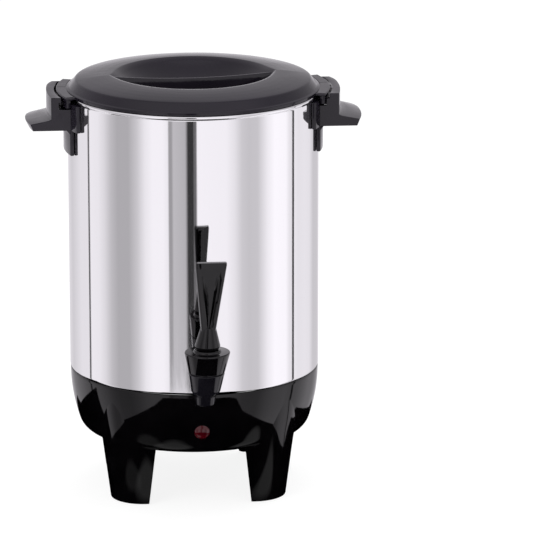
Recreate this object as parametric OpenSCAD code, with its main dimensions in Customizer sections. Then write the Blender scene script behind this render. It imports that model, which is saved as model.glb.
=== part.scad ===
// Household coffee urn: a single-wall steel percolator pot on a black four-legged base,
// with two side handles, a lift-off lid and a self-closing lever tap.
// Millimetres, +Z up. The origin is where the urn's axis meets the counter. The tap points to -Y.

/* [Vessel] */
// Outer diameter of the steel pot
body_d = 190; // [155:1:230]
// Height of the pot's visible wall, from the base to the top of its rolled rim
body_h = 214; // [175:1:260]
// Thickness of the steel
steel_t = 0.8; // [0.5:0.1:1.2]
// Diameter of the rolled bead at the rim
bead_d = 3.3; // [2.4:0.1:4]
// Height of the tucked-in band at the foot of the wall
tuck_h = 7; // [4:0.5:10]
// How far that band draws in
tuck_in = 0.6; // [0.2:0.1:1]
// Depth of the pot's floor below the top of the base
floor_drop = 13; // [11:0.5:16]
// Diameter of the pump well in the floor
well_d = 38; // [34:1:44]
// Depth of the pump well
well_drop = 10; // [7:0.5:12]

/* [Base] */
// Height of the base, from the counter to the foot of the steel wall
base_h = 93; // [80:1:112]
// Height of the bowl, the part of the base above the legs
bowl_h = 49; // [43:1:59]
// Radius of the bowl's barrelled side
bowl_side_r = 120; // [105:1:160]
// Radius of the bowl's lower corner
bowl_corner_r = 12; // [9:0.5:15]
// Wall of the base moulding
base_wall = 3; // [2:0.1:3.6]
// Radius of a leg's curved face at the counter
foot_r = 25; // [21:0.5:28]
// How far the legs lean in from the pot's wall at the counter
foot_in = 11; // [9:0.5:14]
// Thickness of the steel plate under the base
plate_t = 1.2; // [0.8:0.1:2]

/* [Handles] */
// Width of a handle, along the wall
handle_w = 60; // [50:1:72]
// Reach of a handle's flat outer face beyond the pot's wall
handle_reach = 16; // [14:0.5:19]
// How far the finger grip stands out beyond that face
grip_out = 17; // [13:0.5:22]
// Thickness of the grip at its tip
grip_t = 4.5; // [3.5:0.5:7]
// Height of the grip's underside below the rim
grip_drop = 24; // [20:0.5:29]
// Height of the tongue below the grip
tongue_h = 20; // [15:1:26]
// Thickness of the saddle that hugs the wall
saddle_t = 3.4; // [2.6:0.1:4]

/* [Lid] */
// Thickness of the lid moulding
lid_t = 2.5; // [2:0.1:3.2]
// Rise of the lid's top above its flange
lid_rise = 12.3; // [9:0.1:16]
// Radius of the finger recess in the lid
recess_r = 60; // [50:1:68]
// Depth of the finger recess
recess_depth = 22; // [18:0.5:26]
// Thickness of the bar across the recess
bar_t = 5; // [4:0.5:8]
// Reach of the lid's ears beyond the pot's wall
ear_reach = 9; // [7:0.5:11]

/* [Tap] */
// Distance of the tap's upright axis from the pot's wall
tap_out = 52; // [46:1:62]
// Height of the spout's mouth above the foot of the steel wall
spout_up = 8.3; // [5:0.1:12]
// Diameter of the cap's top
cap_d = 34; // [31:0.5:38]
// Diameter of the spout's bore
spout_bore_d = 10; // [8:0.2:10.4]
// Height of the lever
lever_h = 66; // [55:1:80]
// Width of the lever's top
lever_w = 23.5; // [19:0.5:28]
// How far the lever turns when it is pulled
lever_pull = 20; // [14:1:20]

/* [Percolator] */
// Diameter of the coffee basket
basket_d = 104; // [86:1:120]
// Height of the coffee basket
basket_h = 58; // [46:1:66]
// Diameter of the pump tube
tube_d = 9.2; // [8:0.1:11]

/* [Fits] */
// Running clearance, on the radius, of the tap's moving parts
run_gap = 0.1; // [0.06:0.01:0.1]
// Gap between parts that lift apart
lift_gap = 0.3; // [0.2:0.05:0.5]

/* [Hidden] */
$fn = 96;
eps = 0.01;

// Heights
body_r = body_d / 2;
rim_z = base_h + body_h;
bowl_z = base_h - bowl_h;
floor_z = base_h - floor_drop;
well_z = floor_z - well_drop;
bead_r = bead_d / 2;
bead_axis_r = body_r + 0.95 - bead_r;
inner_r = body_r - steel_t;

// Bowl of the base: a barrelled side arc that runs into a corner arc and a flat underside
bowl_top_r = body_r - 0.3;
bowl_side_drop = 1.7;
side_axis_z = base_h - bowl_side_drop;
side_axis_r = bowl_top_r - bowl_side_r;
corner_axis_z = bowl_z + bowl_corner_r;
corner_dz = side_axis_z - corner_axis_z;
corner_axis_r = side_axis_r + sqrt(pow(bowl_side_r - bowl_corner_r, 2) - corner_dz * corner_dz);
corner_a = asin(corner_dz / (bowl_side_r - bowl_corner_r));
pot_r = bowl_top_r - base_wall - 0.3;
pot_corner_r = 6;
lip_r = corner_axis_r - 10;

// Legs: the outer line of a leg, as heights and distances from its own upright axis
leg_axis_r = body_r - foot_in - foot_r;
leg_flare = 5.7;
leg_knee = 22;
leg_knee_out = 3.8;
leg_line = [
    [foot_r, 0],
    [foot_r + leg_flare, bowl_z],
    [foot_r + leg_flare + leg_knee_out, bowl_z + leg_knee],
    [body_r - 0.4 - leg_axis_r, base_h - 7]
];
leg_edge_r = leg_axis_r + 0.62 * foot_r;
leg_angles = [45, 135, 225, 315];

// Underside
plate_r = leg_edge_r - 0.6;
plate_z = bowl_z - plate_t;
plate_screw_r = (lip_r + plate_r) / 2;
plate_screw_angles = [20, 160, 200, 340];
screw_boss_h = 15;
stud_r = 3;
nut_flat = 10;
nut_h = 5;
shield_r = 58;
shield_z = floor_z - 26;
heater_in_r = well_d / 2 + 0.6;
heater_out_r = 46;
heater_t = 4;
element_r = 3.5;
element_ring_r = (heater_in_r + heater_out_r) / 2;
element_gap_a = 16;
element_leg = 9;
element_tail = 4;
module_r = (heater_out_r + pot_r - pot_corner_r) / 2;

// Lamp and inlet
lamp_z = base_h - 29.6;
lamp_hole_r = 5;
lamp_face_r = side_axis_r + sqrt(pow(bowl_side_r, 2) - pow(side_axis_z - lamp_z, 2));
lamp_a = asin((side_axis_z - lamp_z) / bowl_side_r);
lamp_dome_r = 5.8;
lamp_dome_h = 3.6;
lamp_body_h = 14;
lamp_tail = 4;
inlet_z = base_h - 29.6;
inlet_w = 28;
inlet_h = 20;
inlet_flange = [40, 27, 2.5];
inlet_depth = 24;
inlet_y = body_r - 0.5;
boss_rim = 2;
boss_t = 6;
inlet_screw_x = 17;
pin_at = [[-7, -2.5], [7, -2.5], [0, 3.2]];
pin_size = [4, 2];
pin_tail = 7;

// Handles
wall_gap = 0.1;
face_r = body_r + handle_reach;
grip_z = rim_z - grip_drop;
grip_tip_r = face_r + grip_out;
saddle_a = 24.5;
tongue_a = 17;
slot_z = rim_z - 8;
slot_h = 5.4;
hook_top = rim_z + 1.2;
hook_in_r = body_r + ear_reach + 1.2;
flange_top = rim_z - bead_d - 0.4;
slot_out_r = face_r - 4.2;
handle_screw_a = 9;
handle_screw_z = grip_z + 8;
handle_screw_r = 2;

// Lid
lid_z = rim_z + lift_gap - 0.1;
lid_edge_r = body_r + 0.6;
flange_t = 2.4;
lid_top = lid_z + lid_rise;
crease_r = body_r - 6;
crease_z = lid_top - 3.5;
plug_r = bead_axis_r - bead_r - 2 * lift_gap;
plug_h = 8;
sphere_r = (recess_r * recess_r + recess_depth * recess_depth) / (2 * recess_depth);
sphere_z = lid_top - recess_depth + sphere_r;
bar_sag = 3.5;
bar_drop = 0.5;
bar_sag_r = (recess_r * recess_r + bar_sag * bar_sag) / (2 * bar_sag);
bar_turn = 3.8;
ear_a = 20;
neck_in_r = body_r + 3.9;
neck_out_r = neck_in_r + 3.5;
tab_r = hook_in_r - 0.5;
ear_top = lid_z + 1.6;
tab_z = slot_z + 1.6;
tab_h = 2.8;
tab_a = 13;

// Tap, from the spout's mouth up
tap_y = -(body_r + tap_out);
spout_z = base_h + spout_up;
spout_h = 7.7;
lower_h = 17.2;
groove_z = spout_z + spout_h + lower_h;
cap_h = 15.8;
cap_z = groove_z + cap_h;
groove_r = 0.39 * cap_d;
shoulder_r = 0.31 * cap_d;
spout_r = spout_bore_d / 2 + 2.9;
spout_tip_r = spout_bore_d / 2 + 1.8;
seat_z = spout_z + 12;
chamber_r = 9;
orifice_r = 4;
neck_r = 11.2;
neck_h = 8;
cap_roof = 6;
stem_r = 2.5;
shank_z = seat_z + 5;
shank_r = 7;
shank_bore_r = 4;
shank_end = -(body_r - 16);
flange_r = 11;
flange_y = -(body_r + 3);
gasket_t = 3;
gasket_in_t = 3;
tap_nut_h = 5;
collar_h = 1.6;
lever_z = cap_z + collar_h + 0.3;
skirt_r = 9.6;
skirt_h = 16.5;
waist_r = 5.5;
lever_axis_z = cap_z + collar_h;
pin_z = lever_z + 4;
pin_r = 1.25;
pin_half = 6;
stem_top = pin_z + 2.2;
seat_h = 5;
spring_seat_z = seat_z + seat_h + 2;
spring_top = cap_z - cap_roof;
spring_r = 4.4;
spring_wire_r = 0.5;
spring_turns = 6;
stem_lift = skirt_r * lever_pull * PI / 180;
pin_up = pin_z - lever_axis_z;
pin_back = skirt_r * cos(lever_pull) + (pin_up + stem_lift) * sin(lever_pull) - skirt_r;
pin_drop = pin_up + skirt_r * sin(lever_pull) - (pin_up + stem_lift) * cos(lever_pull);

// Percolator
tube_r = tube_d / 2;
tube_top = lid_top - recess_depth - lid_t - 5;
basket_top = tube_top - 16;
basket_z = basket_top - basket_h;
basket_t = 0.8;
cover_t = 1;
cover_gap = 0.4;

// An arc of points round [x, y], from angle a to angle b
function arc(x, y, r, a, b, n = 8) =
    [for (i = [0:n]) let (t = a + (b - a) * i / n) [x + r * cos(t), y + r * sin(t)]];

// The bowl's outline moved in by d, from its underside to its top edge
function bowl_line(d) = concat(
    arc(corner_axis_r, corner_axis_z, bowl_corner_r - d, -90, -corner_a),
    arc(side_axis_r, side_axis_z, bowl_side_r - d, -corner_a, asin(bowl_side_drop / bowl_side_r), 10)
);

// A ring sector between two radii, centred on the +X direction
module sector(r, t, a, z, h) {
    rotate([0, 0, -a]) rotate_extrude(angle = 2 * a) translate([r, z]) square([t, h]);
}

// A cylinder that lies along the Y axis, from y on
module rod_y(r, h, y = 0) {
    translate([0, y, 0]) rotate([-90, 0, 0]) cylinder(r = r, h = h);
}

// The lamp's own frame: square to the bowl's side, with +Y inwards
module at_lamp() {
    translate([0, -lamp_face_r, lamp_z]) rotate([lamp_a, 0, 0]) children();
}
function lamp_point(x, d) = [x, d * cos(lamp_a) - lamp_face_r, lamp_z + d * sin(lamp_a)];

// A pan-head screw that points up, with its head's seat at z = 0
module pan_screw(r, length, head_r, head_h) {
    cylinder(r = r, h = length);
    translate([0, 0, -head_h]) cylinder(r1 = head_r * 0.8, r2 = head_r, h = head_h);
}

// Points of a route, rounded by a Catmull-Rom curve with k steps a span
function route_at(p, i, t) = let (
    a = p[max(i - 1, 0)], b = p[i], c = p[i + 1], d = p[min(i + 2, len(p) - 1)]
) 0.5 * (2 * b + (c - a) * t + (2 * a - 5 * b + 4 * c - d) * t * t
    + (3 * b - a - 3 * c + d) * t * t * t);
function smooth_route(p, k) = concat(
    [for (i = [0:len(p) - 2], j = [0:k - 1]) route_at(p, i, j / k)], [p[len(p) - 1]]
);

// A round tube swept along points, closed at both ends
module sweep(points, r, sides = 8) {
    n = len(points);
    rings = [for (i = [0:n - 1]) let (
        d = points[min(i + 1, n - 1)] - points[max(i - 1, 0)],
        w = d / norm(d),
        side = cross(w, abs(w[2]) > 0.9 ? [1, 0, 0] : [0, 0, 1]),
        u = side / norm(side),
        v = cross(w, u)
    ) for (j = [0:sides - 1]) points[i] + r * (cos(360 * j / sides) * u + sin(360 * j / sides) * v)];
    walls = [for (i = [0:n - 2], j = [0:sides - 1]) let (k = (j + 1) % sides)
        [i * sides + j, i * sides + k, (i + 1) * sides + k, (i + 1) * sides + j]];
    start = [[for (j = [sides - 1:-1:0]) j]];
    end = [[for (j = [0:sides - 1]) (n - 1) * sides + j]];
    polyhedron(rings, [for (f = concat(walls, start, end)) [for (k = [len(f) - 1:-1:0]) f[k]]]);
}

// ---- Pot -------------------------------------------------------------------------------

module vessel() {
    t = steel_t;
    corner_z = floor_z + pot_corner_r;
    outside = concat(
        [[0, well_z], [well_d / 2, well_z], [well_d / 2, floor_z], [pot_r - pot_corner_r, floor_z]],
        arc(pot_r - pot_corner_r, corner_z, pot_corner_r, -80, 0),
        [[pot_r, base_h], [body_r - tuck_in, base_h], [body_r, base_h + tuck_h],
            [body_r, rim_z - bead_r]]
    );
    inside = concat(
        [[inner_r, rim_z - bead_r], [inner_r, base_h + tuck_h], [inner_r - tuck_in, base_h + t],
            [pot_r - t, base_h + t]],
        arc(pot_r - pot_corner_r, corner_z, pot_corner_r - t, 0, -80),
        [[pot_r - pot_corner_r, floor_z + t], [well_d / 2 - t, floor_z + t],
            [well_d / 2 - t, well_z + t], [0, well_z + t]]
    );
    color("gainsboro") difference() {
        union() {
            rotate_extrude() polygon(concat(outside, inside));
            rotate_extrude() translate([bead_axis_r, rim_z - bead_r]) circle(r = bead_r);
        }
        translate([0, 0, shank_z]) rod_y(shank_r + 0.3, 2 * tap_out, -body_r - tap_out);
        for (side = [0, 180], a = [-handle_screw_a, handle_screw_a])
            rotate([0, 0, side + a]) translate([inner_r - 5, 0, handle_screw_z])
                rotate([0, 90, 0]) cylinder(r = handle_screw_r + 0.2, h = 10);
    }
}

// ---- Base ------------------------------------------------------------------------------

module legs() {
    wall_line = [for (p = leg_line) [p[0] - base_wall, p[1]]];
    for (a = leg_angles) rotate([0, 0, a]) intersection() {
        translate([leg_axis_r, 0, 0]) difference() {
            rotate_extrude() polygon(concat([[0, 0]], leg_line, [[0, leg_line[3][1]]]));
            rotate_extrude() polygon(concat([[0, -1], [wall_line[0][0], -1]],
                [wall_line[0], wall_line[1], wall_line[2]], [[0, wall_line[2][1]]]));
        }
        translate([leg_edge_r, -50, 0]) cube([50, 100, base_h]);
    }
}

module base_shell() {
    boss_w = inlet_flange[0] + 2 * boss_rim;
    boss_h = inlet_flange[1] + 2 * boss_rim;
    color("#161618") difference() {
        union() {
            rotate_extrude() polygon(concat([[0, bowl_z]], bowl_line(0), [[0, base_h]]));
            legs();
            translate([-boss_w / 2, 0, inlet_z - boss_h / 2]) cube([boss_w, inlet_y, boss_h]);
        }
        difference() {
            rotate_extrude() polygon(concat([[0, bowl_z + base_wall]], bowl_line(base_wall),
                [[bowl_top_r - base_wall, base_h + 1], [0, base_h + 1]]));
            for (a = plate_screw_angles) rotate([0, 0, a]) translate([plate_screw_r, 0, bowl_z])
                cylinder(r = 4, h = screw_boss_h);
            translate([-boss_w / 2, inlet_y - boss_t, inlet_z - boss_h / 2])
                cube([boss_w, boss_t + 1, boss_h]);
        }
        translate([0, 0, bowl_z - 1]) cylinder(r = lip_r, h = base_wall + 2);
        for (a = plate_screw_angles) rotate([0, 0, a]) translate([plate_screw_r, 0, bowl_z - 1])
            cylinder(r = 1.5, h = 12);
        at_lamp() rod_y(lamp_hole_r, 20, -8);
        translate([-inlet_w / 2 - 0.1, inlet_y - 20, inlet_z - inlet_h / 2 - 0.1])
            cube([inlet_w + 0.2, 40, inlet_h + 0.2]);
        for (x = [-inlet_screw_x, inlet_screw_x]) translate([x, 0, inlet_z])
            rod_y(1.35, 12, inlet_y - 10);
    }
}

module base_plate() {
    color("silver") difference() {
        translate([0, 0, plate_z]) cylinder(r = plate_r, h = plate_t);
        translate([0, 0, plate_z - 1]) cylinder(r = stud_r + 0.3, h = plate_t + 2);
        for (a = plate_screw_angles) rotate([0, 0, a]) translate([plate_screw_r, 0, plate_z - 1])
            cylinder(r = 1.9, h = plate_t + 2);
        for (a = [0:30:330], r = [30, 42]) rotate([0, 0, a + r]) translate([r, 0, plate_z - 1])
            cylinder(r = 3, h = plate_t + 2);
    }
}

module base_screws() {
    color("silver") for (a = plate_screw_angles) rotate([0, 0, a])
        translate([plate_screw_r, 0, plate_z]) pan_screw(1.5, plate_t + 10, 3, 2);
}

module clamp_stud() {
    color("silver") translate([0, 0, plate_z - nut_h - 2]) {
        cylinder(r = stud_r, h = well_z - plate_z + nut_h + 2);
        translate([0, 0, well_z - plate_z + nut_h]) cylinder(r = 10, h = 2);
    }
}

module hex_nut(flat, bore_r, h) {
    difference() {
        cylinder(r = flat / 2 / cos(30), h = h, $fn = 6);
        translate([0, 0, -1]) cylinder(r = bore_r, h = h + 2);
    }
}

module clamp_nut() {
    color("silver") translate([0, 0, plate_z - nut_h]) {
        hex_nut(nut_flat, stud_r + 0.05, nut_h - 1);
        translate([0, 0, nut_h - 1]) difference() {
            cylinder(r = 9, h = 1);
            translate([0, 0, -1]) cylinder(r = stud_r + 0.05, h = 3);
        }
    }
}

module shield_spacer() {
    color("silver") translate([0, 0, bowl_z]) difference() {
        cylinder(r = 6, h = shield_z - bowl_z);
        translate([0, 0, -1]) cylinder(r = stud_r + 0.1, h = 60);
    }
}

module heat_shield() {
    color("silver") difference() {
        union() {
            translate([0, 0, shield_z]) cylinder(r = shield_r, h = 0.8);
            translate([0, 0, shield_z]) difference() {
                cylinder(r = shield_r, h = 5);
                translate([0, 0, -1]) cylinder(r = shield_r - 0.8, h = 7);
            }
        }
        translate([0, 0, shield_z - 1]) cylinder(r = stud_r + 0.3, h = 8);
    }
}

module shield_nut() {
    color("silver") translate([0, 0, shield_z + 0.8]) hex_nut(nut_flat, stud_r + 0.05, 4);
}

// ---- Heating ---------------------------------------------------------------------------

module heater_plate() {
    color("lightgray") translate([0, 0, floor_z - heater_t]) difference() {
        cylinder(r = heater_out_r, h = heater_t);
        translate([0, 0, -1]) cylinder(r = heater_in_r, h = heater_t + 2);
    }
}

// The sheathed ring under the heater plate, with two cold ends that turn down
module brew_element() {
    color("dimgray") translate([0, 0, floor_z - heater_t - element_r]) {
        rotate([0, 0, element_gap_a]) rotate_extrude(angle = 360 - 2 * element_gap_a)
            translate([element_ring_r, 0]) circle(r = element_r);
        for (a = [-element_gap_a, element_gap_a]) rotate([0, 0, a])
            translate([element_ring_r, 0, 0]) {
                sphere(r = element_r);
                translate([0, 0, -element_leg]) cylinder(r = element_r, h = element_leg);
                translate([0, 0, -element_leg - element_tail])
                    cylinder(r = 1.2, h = element_tail + 1);
            }
    }
}

module warm_element() {
    color("ivory") translate([module_r - 6, -18, floor_z - 5]) difference() {
        cube([12, 36, 5]);
        for (y = [4, 32]) translate([6, y, -1]) cylinder(r = 1.2, h = 4);
    }
}

module thermostat() {
    color("#c9b27c") translate([-module_r, 0, 0]) {
        translate([0, 0, floor_z - 3]) cylinder(r = 9, h = 3);
        translate([0, 0, floor_z - 11]) cylinder(r = 7.5, h = 8);
        for (y = [-4, 4]) translate([-2, y - 0.4, floor_z - 17]) cube([4, 0.8, 6]);
    }
}

module thermal_fuse() {
    color("white") translate([0, module_r, floor_z - 6]) difference() {
        translate([-9, -3, 0]) cube([18, 6, 6]);
        for (x = [-10, 7]) translate([x, 0, 3]) rotate([0, 90, 0]) cylinder(r = 1.3, h = 3);
    }
}

// ---- Lamp and inlet ---------------------------------------------------------------------

module lamp_lens() {
    dome_sphere_r = (pow(lamp_dome_r, 2) + pow(lamp_dome_h, 2)) / (2 * lamp_dome_h);
    color("crimson") at_lamp() {
        translate([0, -0.1, 0]) difference() {
            translate([0, dome_sphere_r - lamp_dome_h, 0]) sphere(r = dome_sphere_r);
            rod_y(20, 40);
        }
        rod_y(lamp_hole_r - 0.05, base_wall + 2.1, -0.1);
    }
}

module lamp_body() {
    color("ivory") at_lamp() {
        rod_y(lamp_hole_r - 0.4, lamp_body_h, base_wall + 2);
        for (x = [-2, 2]) translate([x, 0, 0]) rod_y(0.5, lamp_tail, base_wall + 2 + lamp_body_h);
    }
}

module lamp_nut() {
    color("black") at_lamp() difference() {
        rod_y(7.5, 1.2, base_wall + 0.5);
        rod_y(lamp_hole_r, 8);
    }
}

module inlet_socket() {
    f = inlet_flange;
    color("#1c1c1e") difference() {
        union() {
            translate([-f[0] / 2, inlet_y, inlet_z - f[1] / 2]) cube([f[0], f[2], f[1]]);
            translate([-inlet_w / 2, inlet_y - inlet_depth, inlet_z - inlet_h / 2])
                cube([inlet_w, inlet_depth + eps, inlet_h]);
        }
        translate([-inlet_w / 2 + 2, inlet_y - inlet_depth + 4, inlet_z - inlet_h / 2 + 2])
            cube([inlet_w - 4, inlet_depth + 10, inlet_h - 4]);
        for (x = [-inlet_screw_x, inlet_screw_x]) translate([x, 0, inlet_z])
            rod_y(1.6, 10, inlet_y - 2);
        for (p = pin_at) translate([p[0] - pin_size[0] / 2, inlet_y - inlet_depth - 1,
            inlet_z + p[1] - pin_size[1] / 2]) cube([pin_size[0], 10, pin_size[1]]);
    }
}

module inlet_pins() {
    color("gold") for (p = pin_at)
        translate([p[0] - pin_size[0] / 2, inlet_y - inlet_depth - pin_tail,
            inlet_z + p[1] - pin_size[1] / 2])
            cube([pin_size[0], inlet_depth + pin_tail - 4, pin_size[1]]);
}

module inlet_screws() {
    color("silver") for (x = [-inlet_screw_x, inlet_screw_x])
        translate([x, inlet_y + inlet_flange[2], inlet_z]) rotate([90, 0, 0])
            pan_screw(1.3, inlet_flange[2] + 8, 2.6, 1.6);
}

// Insulated wires: each runs from the end of one terminal to the end of another
module wiring() {
    joint_gap = 0.7;
    tail_y = inlet_y - inlet_depth - pin_tail - joint_gap;
    low_z = floor_z - heater_t - element_r - element_leg - element_tail - joint_gap;
    end_x = element_ring_r * cos(element_gap_a);
    end_y = element_ring_r * sin(element_gap_a);
    lamp_d = base_wall + 2 + lamp_body_h + lamp_tail + joint_gap;
    blade_z = floor_z - 17 - joint_gap;
    run_z = shield_z + 10;
    live = [-20, -48, run_z - 2];
    neutral = [28, 26, run_z - 5];
    feed = [[-7, tail_y, inlet_z - 2.5], [-7, tail_y - 4, inlet_z - 2.5],
        [-30, tail_y - 10, run_z - 2], [-module_r + 2, 24, run_z - 2],
        [-module_r, 5, blade_z - 4], [-module_r, 4, blade_z - 1.5], [-module_r, 4, blade_z]];
    heat = [[-module_r, -4, blade_z], [-module_r, -4, blade_z - 2],
        [-module_r + 10, -26, run_z - 2], live, [18, -46, run_z - 2],
        [end_x + 7, -end_y - 14, low_z], [end_x, -end_y, low_z - 2.6], [end_x, -end_y, low_z]];
    back = [[7, tail_y, inlet_z - 2.5], [7, tail_y - 4, inlet_z - 2.5],
        [21, module_r - 6, floor_z - 12], [15, module_r, floor_z - 3], [8.5, module_r, floor_z - 3]];
    link = [[-8.5, module_r, floor_z - 3], [-15, module_r, floor_z - 3],
        [-18, module_r - 12, floor_z - 14], [2, 42, run_z - 3], neutral,
        [end_x, end_y, low_z - 2.6], [end_x, end_y, low_z]];
    earth = [[0, tail_y, inlet_z + 3.2], [0, tail_y - 2.4, inlet_z + 3.2],
        [-2, tail_y - 3.2, inlet_z - 9], [-2, tail_y - 3.2, plate_z + 6],
        [-2, tail_y - 3.2, plate_z + plate_t + 0.05]];
    lamp_live = [lamp_point(-2, lamp_d), lamp_point(-2, lamp_d + 3), [-12, -56, run_z], live];
    lamp_neutral = [lamp_point(2, lamp_d), lamp_point(2, lamp_d + 3), [22, -60, run_z],
        [46, -34, run_z], [51, 0, run_z], [42, 20, run_z - 2], neutral];
    for (w = [feed, heat]) color("#8a2f2a") sweep(smooth_route(w, 4), 1.1);
    for (w = [back, link]) color("#3a3a3c") sweep(smooth_route(w, 4), 1.1);
    color("#4d7a3a") sweep(smooth_route(earth, 4), 1.1);
    for (w = [lamp_live, lamp_neutral]) color("#3a3a3c") sweep(smooth_route(w, 3), 0.7);
}

// ---- Handles ---------------------------------------------------------------------------

// A handle on the +X side. Its slot is open at +Y and closed by a wall at -Y.
module handle_at_x() {
    w = handle_w / 2;
    root_in = body_r + wall_gap;
    top_in = grip_z + 9.3;
    top_tip = grip_z + grip_t;
    corner = 12;
    slot_top = slot_z + slot_h;
    difference() {
        union() {
            sector(root_in - 2, saddle_t + 2, saddle_a, grip_z, flange_top - grip_z);
            sector(root_in - 2, saddle_t + 2, tongue_a, grip_z - tongue_h, tongue_h + 1);
            // block below the slot, outer wall, closed end and hook
            translate([body_r - 10, -w, grip_z]) cube([handle_reach + 10, handle_w, slot_z - grip_z]);
            translate([slot_out_r, -w, grip_z])
                cube([face_r - slot_out_r, handle_w, hook_top - grip_z]);
            translate([neck_out_r - 1, -w, slot_z - 1])
                cube([slot_out_r - neck_out_r + 2, 2.6, slot_h + 2]);
            difference() {
                translate([body_r, -w, slot_top]) cube([handle_reach, handle_w, hook_top - slot_top]);
                translate([0, 0, slot_z]) cylinder(r = hook_in_r, h = 20);
            }
            // finger grip
            intersection() {
                rotate([90, 0, 0]) translate([0, 0, -w]) linear_extrude(height = handle_w)
                    polygon([[face_r - 3, grip_z], [grip_tip_r - 2, grip_z], [grip_tip_r, top_tip],
                        [face_r, top_in], [face_r - 3, top_in]]);
                translate([0, 0, grip_z - 1]) linear_extrude(height = 20) intersection() {
                    translate([grip_tip_r - 100, 0]) circle(r = 100);
                    union() {
                        translate([face_r - 5, corner - w])
                            square([grip_out + 10, handle_w - 2 * corner]);
                        translate([face_r - 5, -w]) square([grip_out + 5 - corner, handle_w]);
                        for (y = [-1, 1]) translate([grip_tip_r - corner, y * (w - corner)])
                            circle(r = corner);
                    }
                }
            }
            // gusset from the underside of the block to the tongue
            intersection() {
                rotate([90, 0, 0]) translate([0, 0, -w]) linear_extrude(height = handle_w)
                    polygon([[body_r - 8, grip_z + 1], [body_r + 8, grip_z + 1],
                        [body_r + 7, grip_z], [body_r - 8, grip_z - 8]]);
                sector(root_in - 2, 11, tongue_a, grip_z - tongue_h, tongue_h + 1);
            }
        }
        translate([0, 0, grip_z - tongue_h - 1]) cylinder(r = root_in, h = 100);
        // room for the rolled rim
        translate([0, 0, flange_top]) cylinder(r = body_r + 1.6, h = 30);
        for (a = [-handle_screw_a, handle_screw_a]) rotate([0, 0, a])
            translate([body_r - 2, 0, handle_screw_z]) rotate([0, 90, 0])
                cylinder(r = handle_screw_r, h = 12);
    }
}

module handle_right() {
    color("#26262a") handle_at_x();
}

module handle_left() {
    color("#26262a") rotate([0, 0, 180]) handle_at_x();
}

module handle_screws() {
    color("silver") for (side = [0, 180], a = [-handle_screw_a, handle_screw_a])
        rotate([0, 0, side + a]) translate([inner_r - 1.2, 0, handle_screw_z])
            rotate([0, 90, 0]) pan_screw(handle_screw_r - 0.05, 12, 4, 2.4);
}

module handle_washers() {
    color("dimgray") for (side = [0, 180], a = [-handle_screw_a, handle_screw_a])
        rotate([0, 0, side + a]) intersection() {
            translate([inner_r - 1.2, 0, handle_screw_z]) rotate([0, 90, 0]) difference() {
                cylinder(r = 5, h = 3);
                translate([0, 0, -1]) cylinder(r = handle_screw_r + 0.05, h = 6);
            }
            cylinder(r = inner_r - 0.02, h = 2 * rim_z, $fn = 720);
        }
}

// ---- Lid -------------------------------------------------------------------------------

module lid() {
    t = lid_t;
    under_z = lid_top - t - 0.2;
    bowl_a = asin(recess_r / sphere_r);
    under_a = acos((sphere_z - under_z) / (sphere_r + t));
    top_line = [for (i = [0:12]) let (a = bowl_a * i / 12)
        [sphere_r * sin(a), sphere_z - sphere_r * cos(a)]];
    under_line = [for (i = [12:-1:0]) let (a = under_a * i / 12)
        [(sphere_r + t) * sin(a), sphere_z - (sphere_r + t) * cos(a)]];
    dome_line = [for (i = [1:6]) [recess_r + (crease_r - recess_r) * i / 6,
        lid_top - (lid_top - crease_z) * pow(i / 6, 1.8)]];
    shell = concat(
        top_line, dome_line,
        [[crease_r + 1.4, crease_z - 1.1], [lid_edge_r - 0.8, lid_z + flange_t + 0.2],
            [lid_edge_r, lid_z + flange_t], [lid_edge_r, lid_z],
            [plug_r, lid_z], [plug_r, lid_z - plug_h], [plug_r - t, lid_z - plug_h],
            [plug_r - t, lid_z + flange_t], [crease_r - t, crease_z - t]],
        under_line
    );
    color("#2c2c30") {
        rotate_extrude() polygon(shell);
        // bar across the recess, with a sagging top edge
        rotate([0, 0, bar_turn]) intersection() {
            difference() {
                translate([-recess_r - 2, -bar_t / 2, lid_top - recess_depth - 1])
                    cube([2 * recess_r + 4, bar_t, recess_depth + 1 - bar_drop]);
                translate([0, -bar_t, lid_top - bar_drop - bar_sag + bar_sag_r])
                    rotate([-90, 0, 0]) cylinder(r = bar_sag_r, h = 2 * bar_t, $fn = 360);
            }
            translate([0, 0, sphere_z]) sphere(r = sphere_r + 0.4 * t);
        }
        // ears, each with a neck and a tab below its edge
        for (side = [0, 180]) rotate([0, 0, side]) {
            sector(lid_edge_r - 4, ear_reach + 3.4, ear_a, lid_z, ear_top - lid_z);
            sector(neck_in_r, neck_out_r - neck_in_r, ear_a - 1, tab_z, lid_z - tab_z + 0.5);
            sector(neck_out_r - 0.5, tab_r - neck_out_r + 0.5, tab_a, tab_z, tab_h);
        }
    }
}

// ---- Percolator ------------------------------------------------------------------------

module perforations(z, h, rows, hole_r) {
    for (r = rows) for (i = [0:floor(2 * PI * r / 9) - 1])
        rotate([0, 0, 360 * i / floor(2 * PI * r / 9)]) translate([r, 0, z])
            cylinder(r = hole_r, h = h);
}

module coffee_basket() {
    r = basket_d / 2;
    sleeve_r = tube_r + 0.2;
    color("silver") difference() {
        rotate_extrude() polygon(concat(
            [[sleeve_r, basket_z]],
            [[r - 8, basket_z]], arc(r - 8, basket_z + 8, 8, -80, 0, 6), [[r, basket_top]],
            [[r - basket_t, basket_top]], arc(r - 8, basket_z + 8, 8 - basket_t, 0, -80, 6),
            [[r - 8, basket_z + basket_t], [sleeve_r + basket_t, basket_z + basket_t],
                [sleeve_r + basket_t, basket_z + 30], [sleeve_r, basket_z + 30]]
        ));
        perforations(basket_z - 1, 3, [16, 27, 38], 1.1);
    }
}

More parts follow.
